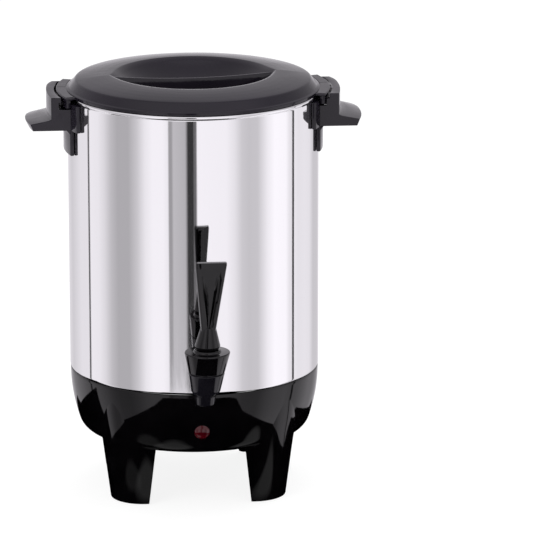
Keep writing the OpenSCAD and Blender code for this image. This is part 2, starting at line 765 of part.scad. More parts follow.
module basket_cover() {
    r = basket_d / 2;
    sleeve_r = tube_r + 0.2;
    color("silver") difference() {
        rotate_extrude() polygon([
            [sleeve_r, basket_top], [r + cover_gap, basket_top], [r + cover_gap, basket_top - 5],
            [r + cover_gap + cover_t, basket_top - 5], [r + cover_gap + cover_t, basket_top + cover_t],
            [r - 7, basket_top + cover_t], [r - 9, basket_top + cover_t + 2],
            [r - 11, basket_top + cover_t], [sleeve_r + cover_t, basket_top + cover_t],
            [sleeve_r + cover_t, basket_top + 8], [sleeve_r, basket_top + 8]
        ]);
        perforations(basket_top - 1, 4, [14, 25, 35], 1);
    }
}

// Riser tube with a bell that sits in the pot's well and a collar that carries the basket
module pump_tube() {
    bell_r = well_d / 2 - steel_t - 1;
    bell_z = well_z + steel_t;
    t = 0.8;
    color("silver") difference() {
        rotate_extrude() polygon([
            [tube_r - t, tube_top], [tube_r, tube_top], [tube_r, basket_z],
            [tube_r + 4, basket_z], [tube_r + 4, basket_z - 1.5], [tube_r, basket_z - 1.5],
            [tube_r, bell_z + 26], [bell_r, bell_z + 12], [bell_r, bell_z],
            [bell_r - t, bell_z], [bell_r - t, bell_z + 11.4], [tube_r - t, bell_z + 25.4]
        ]);
        for (a = [0:60:300]) rotate([0, 0, a + 30]) translate([bell_r - 3, 0, bell_z + 4])
            rotate([0, 90, 0]) cylinder(r = 1.5, h = 6);
    }
}

// ---- Tap -------------------------------------------------------------------------------

module at_tap() {
    translate([0, tap_y, 0]) children();
}

module tap_body() {
    shoulder_z = spout_z + spout_h;
    outline = concat(
        [[0, spout_z], [spout_tip_r - 0.6, spout_z], [spout_tip_r, spout_z + 0.6],
            [spout_r, shoulder_z]],
        arc(shoulder_r - 2.5, shoulder_z + 2.5, 2.5, -90, -10, 5),
        [[groove_r - 0.1, groove_z - 0.8], [groove_r - 0.9, groove_z],
            [neck_r, groove_z], [neck_r, groove_z + neck_h], [0, groove_z + neck_h]]
    );
    color("#1b1b1d") difference() {
        union() {
            at_tap() rotate_extrude() polygon(outline);
            translate([0, 0, shank_z]) {
                rod_y(shank_r, shank_end - tap_y, tap_y);
                rod_y(flange_r, gasket_t, flange_y - gasket_t);
            }
        }
        at_tap() translate([0, 0, seat_z]) cylinder(r = chamber_r, h = 60);
        at_tap() translate([0, 0, spout_z - 1])
            cylinder(r = spout_bore_d / 2, h = seat_z - spout_z - 1);
        at_tap() translate([0, 0, spout_z]) cylinder(r = orifice_r, h = seat_z - spout_z + 1);
        translate([0, 0, shank_z]) rod_y(shank_bore_r, shank_end - tap_y, tap_y + 1);
    }
}

module tap_cap() {
    skirt_in = neck_r + 0.1;
    color("#1b1b1d") at_tap() difference() {
        rotate_extrude() polygon(concat(
            [[skirt_in, groove_z], [groove_r, groove_z], [cap_d / 2 - 0.1, cap_z - 0.9],
                [cap_d / 2 - 0.8, cap_z], [skirt_r + 0.6, cap_z]],
            arc(skirt_r + 0.6 - collar_h, cap_z, collar_h, 0, 90, 5),
            [[stem_r + run_gap, cap_z + collar_h], [stem_r + run_gap, cap_z - cap_roof],
                [skirt_in, cap_z - cap_roof]]
        ));
    }
}

module tap_lever() {
    half_w = lever_w / 2;
    top_z = lever_z + lever_h;
    waist_z = lever_z + skirt_h;
    front = 4.8;
    flute_h = lever_h - skirt_h - 6;
    flute_depth = 1.7;
    color("#1b1b1d") at_tap() difference() {
        union() {
            translate([0, 0, lever_z]) cylinder(r1 = skirt_r, r2 = waist_r, h = skirt_h);
            intersection() {
                rotate([90, 0, 0]) translate([0, 0, -20]) linear_extrude(height = 40)
                    polygon([[0.3 - waist_r, waist_z - 4], [waist_r - 0.3, waist_z - 4],
                        [waist_r, waist_z], [half_w, top_z - 0.8], [half_w - 0.8, top_z],
                        [0.8 - half_w, top_z], [-half_w, top_z - 0.8], [-waist_r, waist_z]]);
                rotate([90, 0, 90]) translate([0, 0, -20]) linear_extrude(height = 40)
                    polygon([[-front, waist_z - 4], [front, waist_z - 4], [front, waist_z],
                        [0.6, top_z - 0.6], [0, top_z], [1 - front, top_z], [-front, top_z - 1.2]]);
            }
        }
        // two flutes on the front, deepest at the waist
        for (s = [-1, 1]) translate([s * 2.4, flute_depth - front, waist_z - 1])
            rotate([atan(1.2 * flute_depth / flute_h), s * atan((half_w - 5.8) / flute_h), 0])
                linear_extrude(height = lever_h) polygon([[-2.6, -3.4], [2.6, -3.4], [0, 0]]);
        // hollow for the stem, and a blind slot across it in which the pin runs back
        translate([-stem_r - 0.5, -stem_r - 0.6, lever_z - 1])
            cube([2 * stem_r + 1, 2 * stem_r + pin_back + 2, 8.6]);
        translate([-pin_half - 0.3, 0, pin_z]) rotate([0, 90, 0])
            linear_extrude(height = 2 * pin_half + 0.6) union() {
                circle(r = pin_r + 0.4);
                translate([pin_drop, pin_back + 0.1]) circle(r = pin_r + 0.4);
                translate([-pin_r - 0.4, 0]) square([2 * pin_r + 0.8, pin_back]);
            }
    }
}

module lever_pin() {
    color("silver") at_tap() translate([-pin_half, 0, pin_z]) rotate([0, 90, 0])
        cylinder(r = pin_r, h = 2 * pin_half);
}

module tap_stem() {
    foot_z = seat_z + seat_h - 3;
    color("silver") at_tap() difference() {
        union() {
            translate([0, 0, foot_z]) cylinder(r = stem_r, h = stem_top - foot_z);
            translate([0, 0, seat_z + seat_h]) cylinder(r = 6, h = 2);
        }
        translate([-10, 0, pin_z]) rotate([0, 90, 0]) cylinder(r = pin_r + 0.02, h = 20);
    }
}

module tap_seat() {
    color("whitesmoke") at_tap() translate([0, 0, seat_z]) difference() {
        cylinder(r1 = 5.4, r2 = 6.4, h = seat_h);
        translate([0, 0, seat_h - 3]) cylinder(r = stem_r + 0.02, h = 4);
    }
}

// Coil between the stem's flange and the roof of the cap; its end turns lie closed
module tap_spring() {
    steps = 12;
    low = spring_seat_z + spring_wire_r;
    high = spring_top - spring_wire_r;
    pitch = (high - low - 4 * spring_wire_r) / (spring_turns - 2);
    function coil_z(turn) = turn < 1 ? low + 2 * spring_wire_r * turn
        : turn > spring_turns - 1 ? high - 2 * spring_wire_r * (spring_turns - turn)
        : low + 2 * spring_wire_r + pitch * (turn - 1);
    points = [for (i = [0:spring_turns * steps]) let (turn = i / steps)
        [spring_r * cos(360 * turn), spring_r * sin(360 * turn), coil_z(turn)]];
    color("silver") at_tap() sweep(points, spring_wire_r, 6);
}

module tap_nut() {
    color("#1b1b1d") translate([0, -inner_r + gasket_in_t, shank_z]) rotate([-90, 30, 0])
        hex_nut(20, shank_r + 0.05, tap_nut_h);
}

module tap_gasket_outer() {
    color("whitesmoke") difference() {
        translate([0, 0, shank_z]) rod_y(flange_r, 5, flange_y);
        translate([0, 0, shank_z]) rod_y(shank_r + 0.05, 20, flange_y - 5);
        translate([0, 0, shank_z - 20]) cylinder(r = body_r + 0.02, h = 40, $fn = 720);
    }
}

module tap_gasket_inner() {
    color("whitesmoke") intersection() {
        difference() {
            translate([0, 0, shank_z]) rod_y(9.8, gasket_in_t + 1, -inner_r - 1);
            translate([0, 0, shank_z]) rod_y(shank_r + 0.05, 20, -inner_r - 5);
        }
        translate([0, 0, shank_z - 20]) cylinder(r = inner_r - 0.02, h = 40, $fn = 720);
    }
}

vessel();
base_shell();
base_plate();
base_screws();
clamp_stud();
clamp_nut();
shield_spacer();
heat_shield();
shield_nut();
heater_plate();
brew_element();
warm_element();
thermostat();
thermal_fuse();
lamp_lens();
lamp_body();
lamp_nut();
inlet_socket();
inlet_pins();
inlet_screws();
wiring();
handle_left();
handle_right();
handle_screws();
handle_washers();
lid();
coffee_basket();
basket_cover();
pump_tube();
tap_body();
tap_cap();
tap_lever();
lever_pin();
tap_stem();
tap_seat();
tap_spring();
tap_nut();
tap_gasket_outer();
tap_gasket_inner();
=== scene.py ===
import bpy
import bmesh
import math
from mathutils import Matrix, Vector


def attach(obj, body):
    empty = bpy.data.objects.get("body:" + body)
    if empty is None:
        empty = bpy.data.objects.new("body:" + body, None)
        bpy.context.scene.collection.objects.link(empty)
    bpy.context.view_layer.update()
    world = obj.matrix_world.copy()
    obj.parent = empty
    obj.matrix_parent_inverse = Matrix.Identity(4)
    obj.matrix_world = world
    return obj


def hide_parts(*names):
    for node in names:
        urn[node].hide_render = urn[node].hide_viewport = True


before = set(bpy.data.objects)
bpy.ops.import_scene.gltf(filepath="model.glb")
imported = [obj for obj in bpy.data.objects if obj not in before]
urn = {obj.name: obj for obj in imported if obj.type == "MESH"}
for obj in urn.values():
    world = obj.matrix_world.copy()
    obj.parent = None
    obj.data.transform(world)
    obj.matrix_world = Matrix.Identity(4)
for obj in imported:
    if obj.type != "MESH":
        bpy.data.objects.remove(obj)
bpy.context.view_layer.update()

# ---- View -----------------------------------------------------------------------------
# The urn is seen from a little above, slightly left of its tap, through a long lens that
# stands three and a half metres away.

view_turn = math.radians(-3.5)
eye_distance, eye_height = 3.458, 1.072
eye_yaw, eye_pitch = 0.0190, math.radians(-14.817)
eye = bpy.data.objects.new("eye", bpy.data.cameras.new("eye"))
bpy.context.scene.collection.objects.link(eye)
eye.data.sensor_width = 36
eye.data.lens = 301.0
eye.data.clip_start, eye.data.clip_end = 0.5, 30
look = Vector((math.sin(eye_yaw) * math.cos(eye_pitch), math.cos(eye_yaw) * math.cos(eye_pitch),
               math.sin(eye_pitch)))
look.rotate(Matrix.Rotation(view_turn, 3, "Z"))
eye.location = Vector((eye_distance * math.sin(view_turn), -eye_distance * math.cos(view_turn), eye_height))
eye.rotation_euler = look.to_track_quat("-Z", "Y").to_euler()
bpy.context.scene.camera = eye
bpy.context.scene.view_settings.view_transform = "Standard"

# ---- Studio ---------------------------------------------------------------------------
# White cards stand all round the counter, with dark gaps where they meet, a grey card beside
# the lens and black paper under the urn. Only what shines shows them: in the pot they are
# upright bands of light, and in the base the black paper's edges.

room = bpy.data.worlds.new("studio")
bpy.context.scene.world = room
room.use_nodes = True
tree = room.node_tree
tree.nodes.clear()


def add_node(tree, kind, inputs=None, **settings):
    """A node with its settings. An input given as another node's socket is linked, any other is set."""
    node = tree.nodes.new(kind)
    for name, value in settings.items():
        setattr(node, name, value)
    for key, value in (inputs or {}).items():
        if isinstance(value, bpy.types.NodeSocket):
            tree.links.new(value, node.inputs[key])
        else:
            node.inputs[key].default_value = value
    return node


def add_maths(tree, operation, *values):
    return add_node(tree, "ShaderNodeMath", dict(enumerate(values)), operation=operation).outputs[0]


def add_ramp(tree, factor, stops):
    """Colours or grey tones by place from 0 to 1."""
    ramp = add_node(tree, "ShaderNodeValToRGB", {0: factor})
    band = ramp.color_ramp.elements
    while len(band) > 1:
        band.remove(band[0])
    for i, (place, tone) in enumerate(stops):
        stop = band[0] if i == 0 else band.new(place)
        stop.position = place
        stop.color = (*tone, 1) if isinstance(tone, tuple) else (tone, tone, tone, 1)
    return ramp.outputs[0]


def add_blend(tree, factor, below, above):
    """Below where the factor is 0 and above where it is 1, each a socket or a grey tone."""
    mix = add_node(tree, "ShaderNodeMix", {0: factor}, data_type="RGBA")
    for socket, value in ((6, below), (7, above)):
        if isinstance(value, bpy.types.NodeSocket):
            tree.links.new(value, mix.inputs[socket])
        else:
            mix.inputs[socket].default_value = (value, value, value, 1)
    return mix.outputs[2]


# How bright the cards are, by degrees round from the lens to the left and to the right
left_cards = [
    (0, 0.04), (5.0, 0.04), (7.4, 0.50), (18.5, 0.56), (19.8, 0.36), (22.4, 0.36), (23.2, 0.92), (28, 1.0),
    (38, 1.0), (45, 0.90), (53, 0.64), (62, 0.46), (74, 0.46), (82, 0.57), (90, 0.78), (98, 0.90),
    (110.8, 0.93), (111.3, 0.10), (113.2, 0.10), (113.8, 0.85), (128, 0.84), (140, 0.74), (150, 0.67),
    (165, 0.75), (180, 0.82)]
right_cards = [
    (0, 0.14), (2.6, 0.15), (3.4, 1.0), (30, 0.98), (38, 0.86), (45, 0.66), (52, 0.61), (61, 0.63),
    (72, 0.95), (80, 1.08), (94, 1.06), (99, 0.88), (102.8, 0.83), (103.3, 0.02), (105.4, 0.02),
    (105.9, 0.92), (112, 0.86), (124, 0.88), (134, 0.85), (144, 0.63), (160, 0.62), (170, 0.82), (180, 0.82)]
# Close by the lens the white counter shows below the cards' lower edge
lower_edge, counter_reach, counter_tone = math.sin(math.radians(-16.2)), 24, 0.95
# Above the cards the room is bright towards the lens and dim behind the urn, by its Y from -1 to 1
room_tones = [(0.0, 0.85), (0.42, 0.80), (0.56, 0.50), (1.0, 0.50)]
cards_end, room_start = 0.02, 0.22
card_tint = (1.0, 0.965, 1.02)
matt_light = 0.72

where = add_node(tree, "ShaderNodeTexCoord").outputs["Generated"]
square_on = add_node(tree, "ShaderNodeVectorRotate", {"Vector": where, "Angle": -view_turn},
                     rotation_type="Z_AXIS")
axes = add_node(tree, "ShaderNodeSeparateXYZ", {0: square_on.outputs[0]})
to_lens = add_maths(tree, "MULTIPLY", axes.outputs["Y"], -1.0)
round_to = add_maths(tree, "ARCTAN2", axes.outputs["X"], to_lens)
reach = add_maths(tree, "MULTIPLY", add_maths(tree, "ABSOLUTE", round_to), 1 / math.pi)
cards = add_blend(tree, add_maths(tree, "GREATER_THAN", round_to, 0.0),
                  add_ramp(tree, reach, [(angle / 180, tone) for angle, tone in left_cards]),
                  add_ramp(tree, reach, [(angle / 180, tone) for angle, tone in right_cards]))
on_counter = add_maths(tree, "MULTIPLY", add_maths(tree, "LESS_THAN", axes.outputs["Z"], lower_edge),
                       add_maths(tree, "LESS_THAN", reach, counter_reach / 180))
low_part = add_blend(tree, on_counter, cards, counter_tone)
high_part = add_ramp(tree, add_maths(tree, "MULTIPLY_ADD", axes.outputs["Y"], 0.5, 0.5), room_tones)
in_front = add_maths(tree, "MINIMUM", axes.outputs["Y"], 0.0)
front_rise = add_maths(tree, "MULTIPLY_ADD", in_front, 0.5, axes.outputs["Z"])
above_cards = add_node(tree, "ShaderNodeMapRange", {0: front_rise, 1: cards_end, 2: room_start}).outputs[0]
plain_shine = add_blend(tree, above_cards, low_part, high_part)
shine = add_node(tree, "ShaderNodeVectorMath", {0: plain_shine, 1: card_tint},
                 operation="MULTIPLY").outputs[0]
ray = add_node(tree, "ShaderNodeLightPath")
shining = add_maths(tree, "MAXIMUM", ray.outputs["Is Glossy Ray"], ray.outputs["Is Transmission Ray"])
backdrop = add_blend(tree, ray.outputs["Is Camera Ray"], add_blend(tree, shining, matt_light, shine), 1.0)
light = add_node(tree, "ShaderNodeBackground", {"Color": backdrop, "Strength": 1.0})
add_node(tree, "ShaderNodeOutputWorld", {"Surface": light.outputs[0]})

softbox_aim = Vector((0, 0, 0.16))
for name, place, side in (("softbox_left", (-1.3, -1.3, 1.2), 0.9), ("softbox_top", (0.2, 0.3, 1.6), 1.0)):
    softbox = bpy.data.objects.new(name, bpy.data.lights.new(name, "AREA"))
    bpy.context.scene.collection.objects.link(softbox)
    softbox.data.shape = "RECTANGLE"
    softbox.data.size = softbox.data.size_y = side
    softbox.data.energy = 10
    softbox.location = place
    softbox.rotation_euler = (softbox_aim - Vector(place)).to_track_quat("-Z", "Y").to_euler()
    softbox.visible_glossy = False

counter_side, counter_height = 8, -0.0005
bpy.ops.object.select_all(action="DESELECT")
bpy.ops.mesh.primitive_plane_add(size=counter_side, location=(0, 0, counter_height))
counter = bpy.context.object
counter.name = "counter"
bpy.ops.object.transform_apply(location=True)
counter.data.transform(Matrix.Rotation(view_turn, 4, "Z"))
counter.visible_glossy = False
paint = bpy.data.materials.new("white_counter")
paint.use_nodes = True
tree = paint.node_tree
tree.nodes.clear()
ray = add_node(tree, "ShaderNodeLightPath")
matt = add_node(tree, "ShaderNodeBsdfDiffuse", {"Color": (0.8, 0.8, 0.8, 1)})
faint = add_node(tree, "ShaderNodeBsdfDiffuse", {"Color": (0.22, 0.22, 0.22, 1)})
own_light = add_node(tree, "ShaderNodeEmission", {"Color": (1, 1, 1, 1), "Strength": 0.86})
shown = add_node(tree, "ShaderNodeAddShader", {0: faint.outputs[0], 1: own_light.outputs[0]})
either = add_node(tree, "ShaderNodeMixShader",
                  {0: ray.outputs["Is Camera Ray"], 1: matt.outputs[0], 2: shown.outputs[0]})
add_node(tree, "ShaderNodeOutputMaterial", {"Surface": either.outputs[0]})
counter.data.materials.append(paint)

paper_height = -0.0003
paper_outline = [
    (0.0, -0.402), (0.08, -0.394), (0.146, -0.372), (0.190, -0.345), (0.205, -0.300), (0.149, -0.19),
    (0.147, -0.04), (0.205, 0.02), (0.156, 0.12), (0.155, 0.16), (-0.185, 0.16), (-0.185, 0.11),
    (-0.360, 0.015), (-0.156, -0.045), (-0.156, -0.25), (-0.170, -0.35), (-0.140, -0.374), (-0.08, -0.394)]
bpy.ops.object.select_all(action="DESELECT")
bpy.ops.mesh.primitive_circle_add(vertices=len(paper_outline), radius=0.1, fill_type="NGON")
paper = bpy.context.object
paper.name = "black_paper_painted_glow"
for corner, (x, y) in zip(paper.data.vertices, paper_outline):
    corner.co = Vector((x, y, paper_height))
paper.data.transform(Matrix.Rotation(view_turn, 4, "Z"))
paper.visible_camera = paper.visible_diffuse = paper.visible_shadow = False
ink = bpy.data.materials.new("black_paper_painted_glow")
ink.use_nodes = True
tree = ink.node_tree
tree.nodes.clear()
# Painted light: glowing spots on the paper, which show as soft pale strips in the legs: middle, half size,
# turn and tone
painted_light_spots = [((-0.036, -0.100), (0.026, 0.030), 0, 0.40), ((-0.076, -0.096), (0.026, 0.020), 12, 0.18),
              ((0.078, -0.093), (0.044, 0.015), -26, 0.40)]
place = add_node(tree, "ShaderNodeTexCoord").outputs["Object"]
painted_glow = 0.0
for middle, size, turn, tone in painted_light_spots:
    spot = add_node(tree, "ShaderNodeMapping", {
        "Vector": place, "Location": (*middle, 0), "Scale": (*size, 1),
        "Rotation": (0, 0, math.radians(turn))}, vector_type="TEXTURE")
    away = add_node(tree, "ShaderNodeVectorMath", {0: spot.outputs[0]}, operation="LENGTH").outputs["Value"]
    fade = add_node(tree, "ShaderNodeMapRange", {0: away, 1: 1.15, 2: 0.75, 3: 0.0, 4: tone}).outputs[0]
    painted_glow = add_maths(tree, "ADD", fade, painted_glow)
# The paper gives off only the painted glow of its spots, and is black elsewhere
black_and_painted_glow = add_node(tree, "ShaderNodeEmission", {"Strength": painted_glow})
add_node(tree, "ShaderNodeOutputMaterial", {"Surface": black_and_painted_glow.outputs[0]})
paper.data.materials.append(ink)

# ---- Pot ------------------------------------------------------------------------------
# One drawn sheet of stainless steel, polished to a mirror outside, with a rolled rim and a
# well in its floor for the pump. It is turned here as one skin of the sheet's own thickness.


def start_material(name, colour, rough, metal=0.0, ior=1.5):
    made = bpy.data.materials.new(name)
    made.use_nodes = True
    skin = made.node_tree.nodes["Principled BSDF"]
    skin.inputs["Base Color"].default_value = (*colour, 1)
    skin.inputs["Roughness"].default_value = rough
    skin.inputs["Metallic"].default_value = metal
    skin.inputs["IOR"].default_value = ior
    return made, made.node_tree, skin


def add_grain(tree, skin, size, rough, bump, stretch=(1, 1, 1), tones=None, detail=3):
    """Varies a finish over grains of a size: its roughness and colour between two values, and its relief."""
    rough_band, tone_band = (0.32, 0.72), (0.35, 0.68)
    place = add_node(tree, "ShaderNodeTexCoord").outputs["Object"]
    mapped = add_node(tree, "ShaderNodeMapping", {"Vector": place, "Scale": stretch}).outputs[0]
    grain = add_node(tree, "ShaderNodeTexNoise", {"Vector": mapped, "Scale": 1 / size, "Detail": detail})
    roughness = add_ramp(tree, grain.outputs["Fac"], list(zip(rough_band, rough)))
    tree.links.new(roughness, skin.inputs["Roughness"])
    if bump:
        relief = add_node(tree, "ShaderNodeBump",
                          {"Height": grain.outputs["Fac"], "Strength": 1.0, "Distance": bump})
        tree.links.new(relief.outputs[0], skin.inputs["Normal"])
    if tones:
        wide = add_node(tree, "ShaderNodeTexNoise", {"Vector": mapped, "Scale": 0.25 / size, "Detail": 2})
        colours = add_ramp(tree, wide.outputs["Fac"], list(zip(tone_band, tones)))
        tree.links.new(colours, skin.inputs["Base Color"])


def soften(line, reach, steps=4):
    """(radius, height) points with each corner rounded from reach away. A third number is a corner's own."""
    out = [line[0][:2]]
    for before, corner, after in zip(line, line[1:], line[2:]):
        p0, p1, p2 = Vector(before[:2]), Vector(corner[:2]), Vector(after[:2])
        near = corner[2] if len(corner) > 2 else reach
        a = p1 + (p0 - p1).normalized() * min(near, (p0 - p1).length * 0.45)
        b = p1 + (p2 - p1).normalized() * min(near, (p2 - p1).length * 0.45)
        for i in range(steps + 1):
            t = i / steps
            out.append(tuple(a * (1 - t) ** 2 + p1 * 2 * t * (1 - t) + b * t ** 2))
    return out + [line[-1][:2]]


def throw(name, outline, sides=128, centre=(0.0, 0.0)):
    """A turned piece: a ring drawn up through (radius, height) points, to its axis or to where it began."""
    least, one_point = 1e-5, 2e-5
    bpy.ops.object.select_all(action="DESELECT")
    bpy.ops.mesh.primitive_circle_add(vertices=sides, radius=max(outline[0][0], least),
                                      location=(*centre, outline[0][1]))
    piece = bpy.context.object
    piece.name = name
    bpy.ops.object.transform_apply(location=True)
    bpy.ops.object.mode_set(mode="EDIT")
    bpy.ops.mesh.select_all(action="SELECT")
    for (r0, z0), (r1, z1) in zip(outline, outline[1:]):
        bpy.ops.mesh.extrude_region_move(TRANSFORM_OT_translate={"value": (0, 0, z1 - z0)})
        growth = max(r1, least) / max(r0, least)
        bpy.ops.transform.resize(value=(growth, growth, 1), center_override=(*centre, z1))
    bpy.ops.mesh.select_all(action="SELECT")
    bpy.ops.mesh.remove_doubles(threshold=one_point)
    bpy.ops.mesh.normals_make_consistent(inside=False)
    bpy.ops.object.mode_set(mode="OBJECT")
    bpy.ops.object.shade_smooth_by_angle(angle=math.radians(40))
    return piece


def fit(piece, finish, body, node):
    """Gives a piece its finish, and puts it on its body in its node's place."""
    piece.data.materials.clear()
    piece.data.materials.append(finish)
    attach(piece, body)
    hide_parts(node)


pot_wall, foot_wall, well_wall, sheet_steel = 0.095, 0.0914, 0.0190, 0.0008
well_floor, pot_floor, wall_top = 0.0700, 0.0800, 0.3036
rim_bead, rim_middle = 0.00165, (0.0943, 0.30535)
rolled_rim = [(rim_middle[0] + rim_bead * math.cos(a), rim_middle[1] + rim_bead * math.sin(a))
              for a in [math.radians(-62 + 15.5 * i) for i in range(19)]]
pot = throw("pot_turned", [
    *soften([(0.0, well_floor), (well_wall, well_floor, 0.002), (well_wall, pot_floor, 0.002),
             (foot_wall, pot_floor, 0.006), (foot_wall, 0.0929, 0.0002), (0.0944, 0.0931, 0.0003),
             (pot_wall, 0.0942, 0.0006), (pot_wall, 0.0955, 0.0002), (pot_wall, 0.3028, 0.0002),
             (pot_wall, wall_top)], 0.001),
    *rolled_rim,
    *soften([(pot_wall - sheet_steel, wall_top, 0.0002), (pot_wall - sheet_steel, 0.0950, 0.001),
             (foot_wall - sheet_steel, 0.0938, 0.001),
             (foot_wall - sheet_steel, pot_floor + sheet_steel, 0.005),
             (well_wall - sheet_steel, pot_floor + sheet_steel, 0.001),
             (well_wall - sheet_steel, well_floor + sheet_steel, 0.001), (0.0, well_floor + sheet_steel)],
            0.001)], 256)
mirror_steel, tree, skin = start_material("mirror_steel", (0.90, 0.90, 0.905), 0.04, 1.0)
add_grain(tree, skin, 0.0012, (0.025, 0.06), 0, stretch=(1, 1, 0.05))
fit(pot, mirror_steel, "urn", "vessel")

# ---- Base -----------------------------------------------------------------------------
# One glossy black moulding: a barrelled bowl that takes the pot's foot, four tapered legs, each
# a curved plate open towards the middle, and a square boss behind for the power inlet.

black_gloss, tree, skin = start_material("black_gloss", (0.0012, 0.001, 0.0014), 0.06, ior=1.44)
add_grain(tree, skin, 0.006, (0.04, 0.08), 0.000006, tones=((0.0008, 0.0007, 0.001), (0.002, 0.0017, 0.0022)))


def arc(middle, radius, start, end, steps):
    return [(middle[0] + radius * math.cos(a), middle[1] + radius * math.sin(a))
            for a in [math.radians(start + (end - start) * i / steps) for i in range(steps + 1)]]


base_wall, bowl_hole = 0.003, 0.0668
corner_middle, corner_radius = (0.07677, 0.056), 0.012
side_middle, side_radius = (-0.0253, 0.0913), 0.120
bowl = throw("base_bowl", [
    (bowl_hole, 0.0440), *arc(corner_middle, corner_radius, -90, -19.1, 10),
    *arc(side_middle, side_radius, -18.5, 0.5, 24), (0.0944, 0.0929), (0.0920, 0.0929),
    *arc(side_middle, side_radius - base_wall, 0.3, -18.5, 12),
    *arc(corner_middle, corner_radius - base_wall, -19.1, -90, 6), (bowl_hole, 0.0470), (bowl_hole, 0.0440)],
    288)


def shade_again(piece, angle):
    """Shades a piece smooth after its shape has changed, but for edges sharper than an angle."""
    bpy.ops.object.select_all(action="DESELECT")
    piece.select_set(True)
    bpy.ops.object.shade_smooth_by_angle(angle=math.radians(angle))


def slab(name, low, high):
    """A plain block from low to high."""
    bpy.ops.object.select_all(action="DESELECT")
    bpy.ops.mesh.primitive_cube_add(size=1, location=[(a + b) / 2 for a, b in zip(low, high)],
                                    scale=[b - a for a, b in zip(low, high)])
    piece = bpy.context.object
    piece.name = name
    bpy.ops.object.transform_apply(location=True, rotation=True, scale=True)
    return piece


def cut(piece, tool):
    """Cuts a tool out of a piece, and removes it."""
    step = piece.modifiers.new("cut", "BOOLEAN")
    step.operation, step.solver, step.object = "DIFFERENCE", "EXACT", tool
    bpy.context.view_layer.objects.active = piece
    bpy.ops.object.modifier_apply(modifier="cut")
    bpy.data.objects.remove(tool)
    shade_again(piece, 30)


def copy_of(piece, name):
    other = piece.copy()
    other.data = piece.data.copy()
    other.name = name
    bpy.context.scene.collection.objects.link(other)
    return other


def weld(name, *pieces):
    """Joins the pieces of one moulding into one object."""
    bpy.ops.object.select_all(action="DESELECT")
    for piece in pieces:
        piece.select_set(True)
    bpy.context.view_layer.objects.active = pieces[0]
    bpy.ops.object.join()
    pieces[0].name = name
    return pieces[0]


leg_axis, leg_flat = 0.059, 0.0745
leg = throw("base_leg", soften([
    (0.0220, 0.0), (0.0250, 0.0, 0.0006), (0.0307, 0.0440, 0.012), (0.0345, 0.0660, 0.009),
    (0.0355, 0.0862, 0.0002), (0.0320, 0.0862, 0.0002), (0.0315, 0.0660, 0.009), (0.0277, 0.0440, 0.012),
    (0.0220, 0.0)], 0.001, 8), 192, (leg_axis, 0.0))
bpy.ops.object.mode_set(mode="EDIT")
bpy.ops.mesh.select_all(action="SELECT")
bpy.ops.mesh.bisect(plane_co=(leg_flat, 0, 0), plane_no=(1, 0, 0), use_fill=True, clear_inner=True)
bpy.ops.mesh.select_all(action="SELECT")
bpy.ops.mesh.normals_make_consistent(inside=False)
bpy.ops.object.mode_set(mode="OBJECT")
shade_again(leg, 30)
boss = slab("base_boss", (-0.0225, 0.0800, 0.0478), (0.0225, 0.0945, 0.0790))
for piece in (boss, bowl):
    cut(piece, slab("inlet_pocket", (-0.0170, 0.0700, 0.0520), (0.0170, 0.1000, 0.0748)))
base_legs = [copy_of(leg, f"base_leg_{i}") for i in range(4)]
for i, one in enumerate(base_legs):
    one.data.transform(Matrix.Rotation(math.radians(45 + 90 * i), 4, "Z"))
bpy.data.objects.remove(leg)
base_piece = weld("base_moulding", bowl, boss, *base_legs)
fit(base_piece, black_gloss, "urn", "base_shell")

# ---- Lid ------------------------------------------------------------------------------
# A black moulding that drops into the rim: a flat-topped ring round a deep finger recess,
# with a thin bar across it to hold, and an ear at each side that turns under a handle.

black_satin, tree, skin = start_material("black_satin", (0.010, 0.008, 0.013), 0.12, ior=1.42)
add_grain(tree, skin, 0.024, (0.08, 0.15), 0.0002, tones=((0.007, 0.0055, 0.009), (0.013, 0.0105, 0.017)))

recess_radius, recess_floor, recess_depth = 0.0605, 0.2975, 0.022
lid_crown, crown_fall, crease = 0.3195, 0.0035, 0.0890
ball = (recess_radius ** 2 + recess_depth ** 2) / (2 * recess_depth)
recess = [(max(ball * math.sin(a), 0), recess_floor + ball * (1 - math.cos(a)))
          for a in [math.asin(recess_radius / ball) * i / 14 for i in range(15)]]
crown = [(recess_radius + (crease - recess_radius) * t, lid_crown - crown_fall * t ** 1.8)
         for t in (0.1, 0.25, 0.45, 0.65, 0.85)]
lid_top = recess[:-1] + soften([
    recess[-1], *crown, (crease, 0.3160, 0.0011), (0.0938, 0.3101, 0.0005), (0.0956, 0.3094, 0.0004),
    (0.0956, 0.3072, 0.0003), (0.0921, 0.3072, 0.0003), (0.0921, 0.2992, 0.0005), (0.0896, 0.2992, 0.0005),
    (0.0896, 0.3090, 0.001), (0.0865, 0.3135, 0.001), (0.0650, 0.3165)], 0.0012)
lid_thickness = 0.0025
under_ball = ball + lid_thickness
under = [(under_ball * math.sin(a), recess_floor + ball - under_ball * math.cos(a))
         for a in [math.radians(38 - 38 * i / 12) for i in range(13)]]
lid_skin = throw("lid_moulding", lid_top + under, 288)

